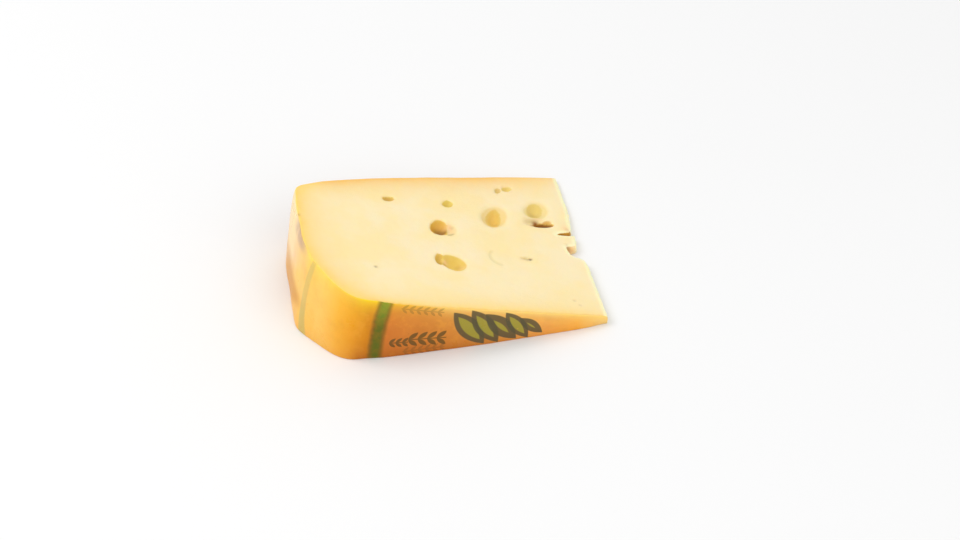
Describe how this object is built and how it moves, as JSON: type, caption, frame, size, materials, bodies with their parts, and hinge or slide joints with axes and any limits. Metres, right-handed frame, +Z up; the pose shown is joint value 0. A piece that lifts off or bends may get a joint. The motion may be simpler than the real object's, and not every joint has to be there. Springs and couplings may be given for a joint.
{
  "type": "cheese wedge",
  "caption": "Wedge of large-eyed semi-hard cheese from a wheel, lying on a cut face: pale holed paste, orange printed rind with a green ring, torn thin nose.",
  "frame": {"origin": "middle of the bounding box's underside, in the plane of the lower cut face that the wedge lies on", "axes": "+Z up; -X to the heel (the wheel's rim) and +X to the thin nose; -Y to the front flat rind face and +Y to the back one, so the wheel's axis is parallel to Y"},
  "size_m": [0.1662, 0.1244, 0.0436],
  "materials": {
    "paste": "moist pale yellow paste, softly translucent, faintly shiny inside the eyes",
    "rind": "thin glossy orange coating with printed green rings and leaf shapes"
  },
  "bodies": {
    "root": {"cheese_wedge": "paste"}
  },
  "joints": []
}
